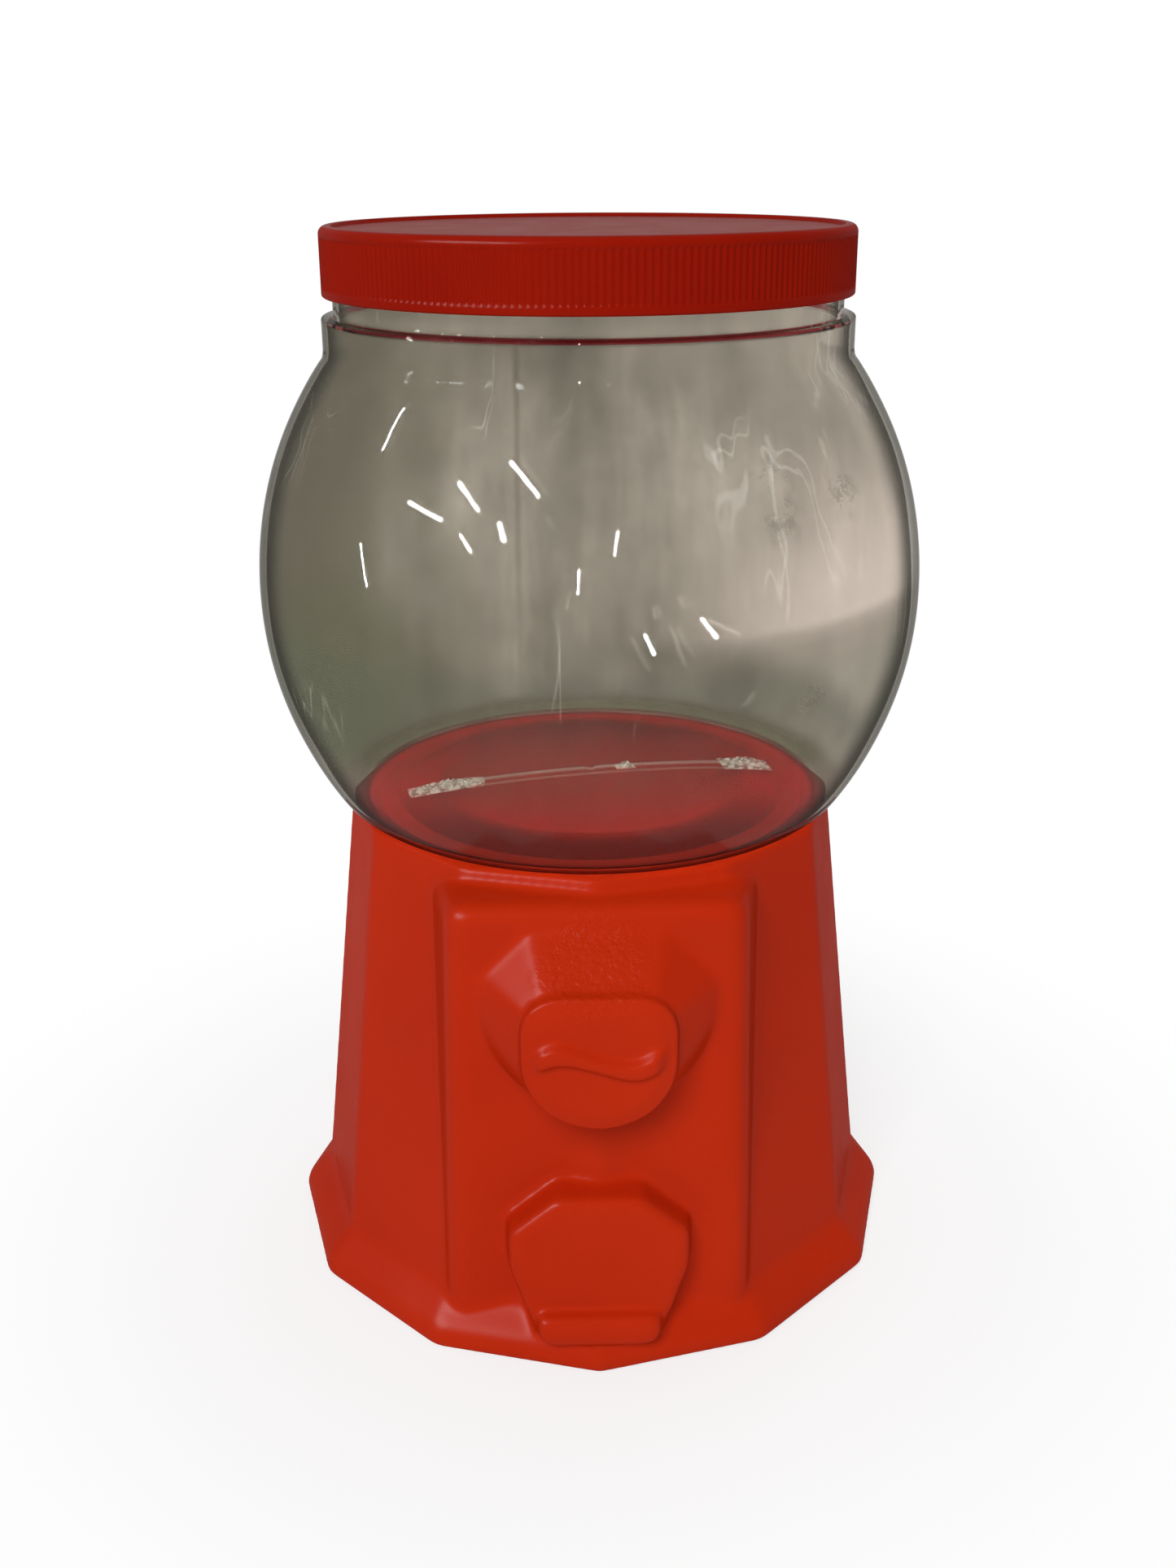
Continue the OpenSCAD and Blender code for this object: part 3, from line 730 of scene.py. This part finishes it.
def build_jar():
    outer = jar_side(0)
    inner = jar_side(JAR_WALL)
    lip = arc(NECK_R - JAR_WALL / 2, MOUTH_Z - JAR_WALL / 2, JAR_WALL / 2, 0, 180, 6)
    profile = outer + lip[1:-1] + inner[::-1]
    outside = np.zeros(len(profile) - 2, bool)
    outside[:len(outer) - 1] = True

    def shift(r, z, angle):
        on_outside = outside[:, None]
        neck = on_outside & (z > SHOULDER_Z + 1 * MM)
        r = np.where(neck, r + THREAD_DEPTH * thread_wave(
            z, angle, SHOULDER_Z + 5.5 * MM, MOUTH_Z - 1.5 * MM, 0.0), r)
        globe = smooth_step((z - JAR_LOW[2] - HEEL_H) / (15 * MM)) * smooth_step(
            (SHOULDER_Z - SHOULDER_BAND - z) / (12 * MM))
        wander = sum(height * np.sin(turns * angle + climb * z + phase)
                     for height, turns, climb, phase in WALL_WAVES)
        r = r - np.where(on_outside, DIP_OUTSIDE, DIP_INSIDE) * globe * (0.9 + wander)
        # weld across the floor
        x = r * np.cos(angle - WELD_TURN)
        y = r * np.sin(angle - WELD_TURN)
        floor = ~on_outside & (z < JAR_LOW[2] + JAR_WALL + PUSH_UP + 0.2 * MM) & (r < STAND_R)
        along = smooth_step((WELD_HALF - np.abs(x)) / (4 * MM))
        ridge = WELD_RISE * np.exp(-(y / (0.9 * MM)) ** 2) * along
        z = np.where(floor, z + ridge, z)
        return r, z

    jar = spun("jar_shell", profile, JAR_STEPS, jar_plastic(), shift)
    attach(jar, "jar_and_base")
    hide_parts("jar")


# along the weld: each lump's middle, length and width in millimetres, and its random seed
LUMPS = (("weld_lump_left", -36.5, 19, 6.5, 5), ("weld_lump_right", 40.5, 13, 8, 11),
         ("weld_bead_right", 9, 5, 2.6, 7))
LUMP_JITTER = 0.25 * MM    # how far a lump's points stray sideways
LUMP_LOW = 0.35 * MM       # a lump's least height and how much more it may have
LUMP_MORE = 1.3 * MM
LUMP_SINK = 0.15 * MM      # how deep it stands in the floor


def weld_plastic():
    """The same clear plastic, crumpled and clouded where the weld was nipped off."""
    material, tree, shader = new_material("weld_plastic")
    haze = noise_node(tree, 700, detail=4)
    tree.links.new(ramp(tree, haze, [(0.40, (0.78, 0.70, 0.68)), (0.52, (0.97, 0.96, 0.95))]),
                   shader.inputs["Base Color"])
    tree.links.new(ramp(tree, haze, [(0.42, 0.75), (0.56, 0.15)]), shader.inputs["Transmission Weight"])
    shader.inputs["Roughness"].default_value = 0.06
    shader.inputs["IOR"].default_value = 1.5
    lets_lamps_through(tree, shader, LAMP_TINT)
    return material


def floor_inside(r):
    """Height of the jar's floor, on its inside, at a distance from the axis."""
    radii, heights = zip(*floor_curve(JAR_LOW[2] + JAR_WALL))
    return np.interp(r, radii, heights)


def build_weld_lumps():
    """Crumpled flakes along the weld, as small closed solids that sit on the jar's floor."""
    material = weld_plastic()
    for name, middle, length, width, seed in LUMPS:
        rng = np.random.RandomState(seed)
        across = max(8, int(width / 0.55))
        along = max(10, int(length / 0.6))
        u, v = np.meshgrid(np.linspace(-1, 1, along), np.linspace(-1, 1, across), indexing="ij")
        inside = np.clip(1 - (u ** 2 + v ** 2), 0, 1)
        jitter = LUMP_JITTER * (inside > 0)
        px = (middle + u * length / 2) * MM + jitter * rng.uniform(-1, 1, u.shape)
        py = v * width / 2 * MM + jitter * rng.uniform(-1, 1, u.shape)
        height = (LUMP_LOW + LUMP_MORE * rng.uniform(0, 1, u.shape) ** 2) * np.sqrt(inside)
        x = px * math.cos(WELD_TURN) - py * math.sin(WELD_TURN)
        y = px * math.sin(WELD_TURN) + py * math.cos(WELD_TURN)
        ground = floor_inside(np.hypot(x, y))
        top = np.stack([x, y, ground + height], axis=-1).reshape(-1, 3)
        bottom = np.stack([x, y, ground - LUMP_SINK], axis=-1).reshape(-1, 3)
        points = np.concatenate([top, bottom]).tolist()
        count = along * across
        faces = []
        for i in range(along - 1):
            for j in range(across - 1):
                a = i * across + j
                b, c, d = a + across, a + across + 1, a + 1
                faces += [(a, b, c), (a, c, d)]
                faces += [(count + c, count + b, count + a), (count + d, count + c, count + a)]
        rim = [i * across for i in range(along)]
        rim += [(along - 1) * across + j for j in range(1, across)]
        rim += [i * across + across - 1 for i in range(along - 2, -1, -1)]
        rim += list(range(across - 2, 0, -1))
        for a, b in zip(rim, rim[1:] + rim[:1]):
            faces.append((a, count + a, count + b, b))
        lump = mesh_object(name, points, faces, material, smooth=False)
        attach(lump, "jar_and_base")


# ---- Lid ----

def build_lid():
    z0, z1 = LID_LOW[2], LID_HIGH[2]
    inner_top = z1 - LID_SINK - LID_TOP_T
    border_r = LID_R - LID_BORDER
    inside = [(r, inner_top) for r in (0, 20 * MM, 45 * MM, LID_BORE_R - 0.3 * MM)]
    bore_top = (LID_BORE_R, inner_top - 0.3 * MM)
    bore_low = (LID_BORE_R, z0 + 0.3 * MM)
    bore = [bore_top] + line(bore_top, bore_low, 50) + [bore_low]
    hem = [(LID_BORE_R + 0.2 * MM, z0)] + arc(LID_R - HEM_R, z0 + HEM_R, HEM_R, -90, 0, 4)
    side = line((LID_R, z0 + 0.6 * MM), (LID_R, z1 - LID_EDGE_R), 40)
    edge = arc(LID_R - LID_EDGE_R, z1 - LID_EDGE_R, LID_EDGE_R, 0, 90, 10)
    step = bend((border_r + 0.6 * MM, z1), (border_r, z1), (border_r, z1 - 0.5 * MM), 4)
    panel = bend((border_r, z1 - LID_SINK + 0.3 * MM), (border_r, z1 - LID_SINK),
                 (border_r - 0.4 * MM, z1 - LID_SINK), 3)
    top = [(r * MM, z1 - LID_SINK) for r in (50, 40, 28, 15, 6, 0)]
    bore_first = len(inside)
    bore_last = bore_first + len(bore)
    side_first = bore_last + len(hem)
    side_last = side_first + len(side)
    profile = inside + bore + hem + side + edge + step + panel + top
    rows = np.arange(1, len(profile) - 1)[:, None]

    def shift(r, z, angle):
        on_bore = (rows >= bore_first) & (rows < bore_last)
        r = np.where(on_bore, r - THREAD_DEPTH * thread_wave(
            z, angle, z0 + 1.5 * MM, inner_top - 1.5 * MM, 0.5), r)
        on_side = (rows >= side_first) & (rows < side_last)
        fade = smooth_step((z - RIB_LOW) / RIB_END) * smooth_step((RIB_HIGH - z) / RIB_END)
        groove = 0.5 - 0.5 * np.cos(RIB_COUNT * angle)
        r = np.where(on_side, r - RIB_DEPTH * fade * groove ** 1.3, r)
        return r, z

    lid = spun("lid_shell", profile, RIB_COUNT * RIB_STEPS, lid_plastic(), shift)
    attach(lid, "lid")
    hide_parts("lid")


def build_liner():
    r = LINER_HIGH[0]
    z0, z1 = LINER_LOW[2], LINER_HIGH[2]
    edge = 0.2 * MM
    profile = [(0, z0), (r * 0.5, z0), (r - edge, z0), (r, z0 + edge), (r, z1 - edge), (r - edge, z1),
               (r * 0.5, z1), (0, z1)]
    liner = spun("liner_disc", profile, LINER_STEPS, liner_foam())
    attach(liner, "liner")
    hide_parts("lid_liner")


# ---- Camera, floor and light ----

CAMERA_AT = (-0.00063, -0.39576, 0.26924)
CAMERA_DOWN = math.radians(20.892)
CAMERA_ROLL = -0.0051
CAMERA_LENS = 38.45
BASE_YAW = 0.0195          # how far the base is turned against the camera in the picture


def add_camera():
    data = bpy.data.cameras.new("camera")
    data.lens = CAMERA_LENS
    data.sensor_width = 36
    data.clip_start = 0.01
    camera = in_scene("camera", data)
    camera.matrix_world = (Matrix.Rotation(-BASE_YAW, 4, "Z") @ Matrix.Translation(CAMERA_AT)
                           @ Matrix.Rotation(math.pi / 2 - CAMERA_DOWN, 4, "X")
                           @ Matrix.Rotation(CAMERA_ROLL, 4, "Z"))
    bpy.context.scene.camera = camera


def seen_by_eye(tree):
    """1 for rays that see a surface straight, in a mirror or through clear plastic, else 0."""
    path = tree.nodes.new("ShaderNodeLightPath")
    seen = path.outputs["Is Camera Ray"]
    for name in ("Is Glossy Ray", "Is Transmission Ray"):
        seen = math_node(tree, "MAXIMUM", seen, path.outputs[name])
    return seen


FLOOR_NEAR = 0.075         # the floor's shade begins to fade at this distance from the axis
FLOOR_FAR = 0.22           # and is the backdrop's white from here on
FLOOR_WHITE = 0.72         # share of the backdrop's white in the floor next to the object
FLOOR_SIZE = 6.0
WORLD_LEVEL = 0.24         # light that the white surroundings give


def add_floor():
    """A pale floor that keeps the shadow near the object and fades into the white backdrop further out."""
    material, tree, shader = new_material("floor_white")
    shader.inputs["Base Color"].default_value = (0.9, 0.9, 0.9, 1)
    shader.inputs["Roughness"].default_value = 0.9
    shader.inputs["Specular IOR Level"].default_value = 0.1
    coords = tree.nodes.new("ShaderNodeTexCoord")
    length = tree.nodes.new("ShaderNodeVectorMath")
    length.operation = "LENGTH"
    tree.links.new(coords.outputs["Object"], length.inputs[0])
    fade = tree.nodes.new("ShaderNodeMapRange")
    fade.interpolation_type = "SMOOTHSTEP"
    fade.inputs["From Min"].default_value = FLOOR_NEAR
    fade.inputs["From Max"].default_value = FLOOR_FAR
    fade.inputs["To Min"].default_value = FLOOR_WHITE
    tree.links.new(length.outputs["Value"], fade.inputs["Value"])
    white = tree.nodes.new("ShaderNodeEmission")
    white.inputs["Color"].default_value = (1, 1, 1, 1)
    mix = tree.nodes.new("ShaderNodeMixShader")
    tree.links.new(product(tree, fade.outputs["Result"], seen_by_eye(tree)), mix.inputs["Fac"])
    tree.links.new(shader.outputs["BSDF"], mix.inputs[1])
    tree.links.new(white.outputs["Emission"], mix.inputs[2])
    tree.links.new(mix.outputs[0], tree.nodes["Material Output"].inputs["Surface"])
    corners = [(x * FLOOR_SIZE, y * FLOOR_SIZE, 0) for x, y in ((-1, -1), (1, -1), (1, 1), (-1, 1))]
    floor = mesh_object("floor", corners, [(0, 1, 2, 3)], material, smooth=False)


def add_world():
    world = bpy.data.worlds.new("studio")
    world.use_nodes = True
    tree = world.node_tree
    background = tree.nodes["Background"]
    strength = tree.nodes.new("ShaderNodeMapRange")
    strength.inputs["To Min"].default_value = WORLD_LEVEL
    strength.inputs["To Max"].default_value = 1.0
    tree.links.new(seen_by_eye(tree), strength.inputs["Value"])
    tree.links.new(strength.outputs["Result"], background.inputs["Strength"])
    background.inputs["Color"].default_value = (1, 1, 1, 1)
    bpy.context.scene.world = world


# the soft lamps that light the object: where each is, its size in metres and its power in watts
LAMPS = (("key", (-0.42, -1.47, 1.38), 0.8, 27),
         ("top", (0.0, 0.3, 1.7), 1.2, 3.5),
         ("back", (0.7, 1.4, 0.9), 1.2, 6))
LAMP_AIM = (0, 0, 0.13)
TUBE_GLOW = 2300           # watts per square metre
# each tube's two ends, as bearing and height in degrees, its width and its distance from the globe
TUBES = (("front", (-35, 41), (-21, 32), 0.06, 3),
         ("mid", (-52, 32), (-41, 26), 0.06, 3),
         ("left", (-69, 22), (-54, 21), 0.055, 3),
         ("side", (-92, 38), (-89, 28), 0.035, 3),
         ("glint_upper", (-33, 24), (-30, 19), 0.07, 3),
         ("glint_lower", (-46, 19), (-41, 15), 0.05, 3),
         ("glint_middle", (-5, 12), (-5, 5), 0.04, 3),
         ("glint_right", (9, 23), (7, 16), 0.04, 3),
         ("glint_edge", (-83, 8), (-78, -1), 0.03, 3),
         ("glint_low", (15, -6), (18, -12), 0.014, 0.7),
         ("glint_low_right", (33, -2), (38, -8), 0.012, 0.7))


def area_light(name, at, target, size, power, size_y=None, mirrored=True):
    """A soft lamp; one that isn't mirrored lights the object without showing in its gloss."""
    data = bpy.data.lights.new(name, "AREA")
    data.energy = power
    data.size = size
    if size_y:
        data.shape = "RECTANGLE"
        data.size_y = size_y
    light = in_scene(name, data)
    light.location = at
    light.rotation_euler = (Vector(target) - Vector(at)).to_track_quat("-Z", "Y").to_euler()
    light.visible_camera = False
    light.visible_glossy = mirrored
    light.visible_transmission = mirrored
    return light


def toward(bearing, height):
    """A direction from its bearing to the right of the front and its height, both in degrees."""
    turn, tilt = math.radians(bearing), math.radians(height)
    return Vector((math.sin(turn) * math.cos(tilt), -math.cos(turn) * math.cos(tilt), math.sin(tilt)))


def tube_light(name, start, end, width, away, lit):
    """A tube between two directions from the globe, seen only as a thin streak in the globe's gloss."""
    centre = Vector((0, 0, GLOBE_MID_Z))
    a, b = centre + away * toward(*start), centre + away * toward(*end)
    along = (b - a).normalized()
    facing = ((a + b) / 2 - centre).normalized()
    across = facing.cross(along).normalized()
    length = (b - a).length
    light = area_light(name, (a + b) / 2, centre, length, TUBE_GLOW * length * width, width)
    light.visible_diffuse = False
    light.rotation_euler = Matrix((along, across, along.cross(across))).transposed().to_euler()
    light.light_linking.receiver_collection = lit


def receivers(name, *pieces):
    """A collection of the pieces that a lamp may light."""
    collection = bpy.data.collections.new(name)
    for piece in pieces:
        collection.objects.link(bpy.data.objects[piece])
    return collection


def add_lights():
    for name, at, size, power in LAMPS:
        area_light(name, at, LAMP_AIM, size, power, mirrored=False)
    # a window and the ceiling tubes only show in the gloss
    window = area_light("window", (-1.38, -1.08, 1.05), LAMP_AIM, 1.3, 80, 0.6)
    window.visible_diffuse = False
    window.visible_transmission = False
    window.light_linking.receiver_collection = receivers("window_receivers", "base_shell", "lid_shell")
    clear = receivers("tube_receivers", "jar_shell")
    for name, start, end, width, away in TUBES:
        tube_light("tube_" + name, start, end, width, away, clear)


build_base()
build_jar()
build_weld_lumps()
build_lid()
build_liner()
add_camera()
add_floor()
add_world()
add_lights()

scene = bpy.context.scene
scene.view_settings.view_transform = "Standard"
